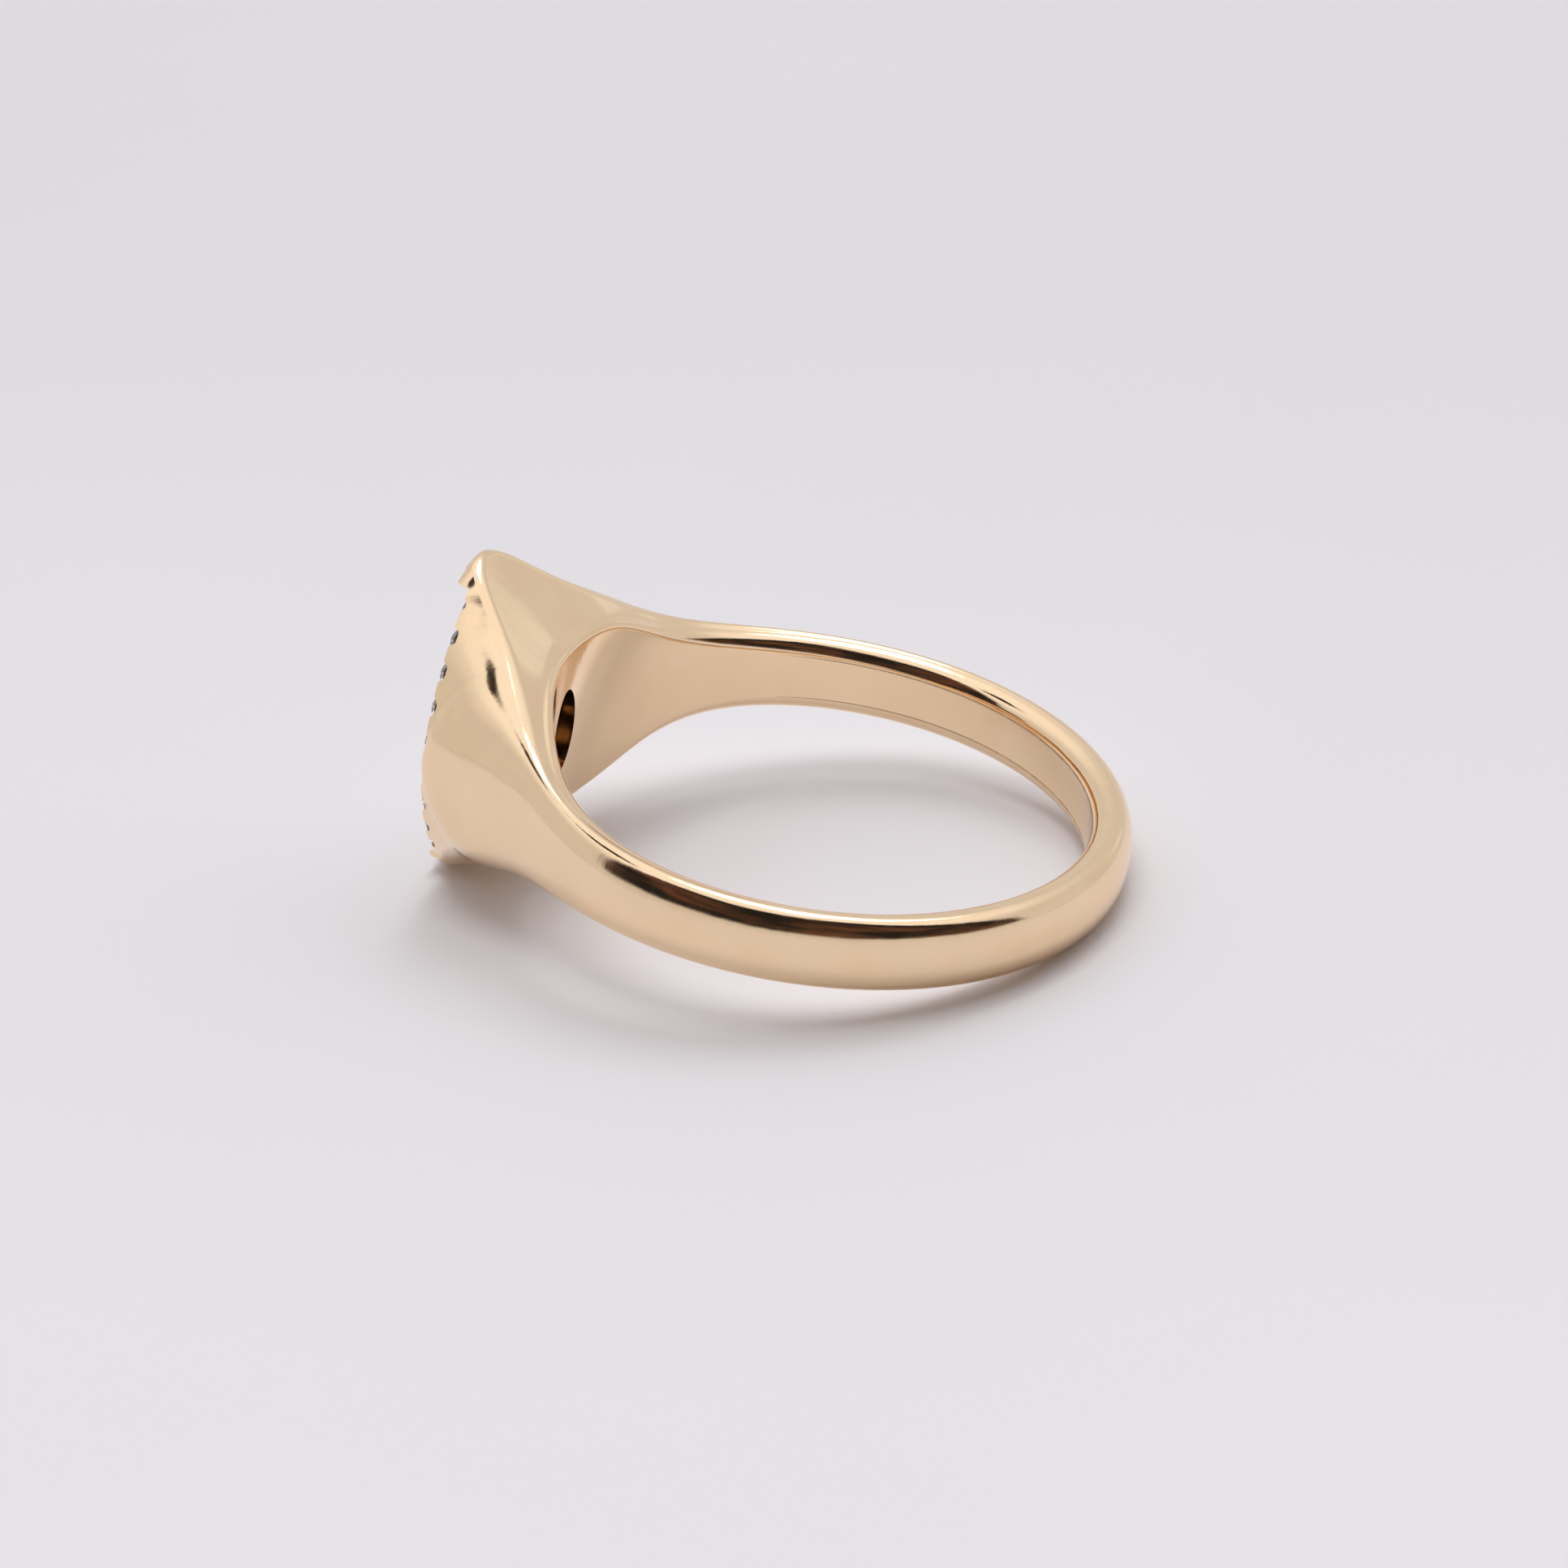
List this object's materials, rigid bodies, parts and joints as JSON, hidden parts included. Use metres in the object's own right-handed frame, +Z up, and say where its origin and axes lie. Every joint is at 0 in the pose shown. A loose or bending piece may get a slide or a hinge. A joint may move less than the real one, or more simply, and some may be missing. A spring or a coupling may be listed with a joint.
{
  "type": "signet ring",
  "caption": "Polished gold signet ring with a slim band, shoulders that rise to a pointed oval head, and a flat face set with small clear stones between raised end lips.",
  "frame": {"origin": "centre of the ring's box at the table, with the ring lying on its side as it rests", "axes": "+X from the head to the back of the band, +Y across the band, +Z up from the table"},
  "size_m": [0.0226, 0.0194, 0.0107],
  "materials": {
    "gold": "polished",
    "stone": "faceted"
  },
  "bodies": {
    "root": {"ring_casting": "gold", "stone_rim_1": "stone", "stone_rim_2": "stone", "stone_rim_3": "stone", "stone_rim_4": "stone", "stone_rim_5": "stone", "stone_rim_6": "stone", "stone_rim_7": "stone", "stone_rim_8": "stone", "stone_rim_9": "stone", "stone_rim_10": "stone", "stone_rim_11": "stone", "stone_rim_12": "stone", "stone_rim_13": "stone", "stone_rim_14": "stone", "stone_rim_15": "stone", "stone_rim_16": "stone", "stone_rim_17": "stone", "stone_rim_18": "stone", "stone_rim_19": "stone", "stone_rim_20": "stone", "stone_rim_21": "stone", "stone_rim_22": "stone", "stone_rim_23": "stone", "stone_rim_24": "stone", "stone_second_1": "stone", "stone_second_2": "stone", "stone_second_3": "stone", "stone_second_4": "stone", "stone_second_5": "stone", "stone_second_6": "stone", "stone_second_7": "stone", "stone_second_8": "stone", "stone_second_9": "stone", "stone_second_10": "stone", "stone_second_11": "stone", "stone_second_12": "stone", "stone_second_13": "stone", "stone_second_14": "stone", "stone_second_15": "stone", "stone_second_16": "stone", "stone_third_1": "stone", "stone_third_2": "stone", "stone_third_3": "stone", "stone_third_4": "stone", "stone_third_5": "stone", "stone_third_6": "stone", "stone_third_7": "stone", "stone_third_8": "stone", "stone_centre_1": "stone", "stone_centre_2": "stone"}
  },
  "joints": []
}
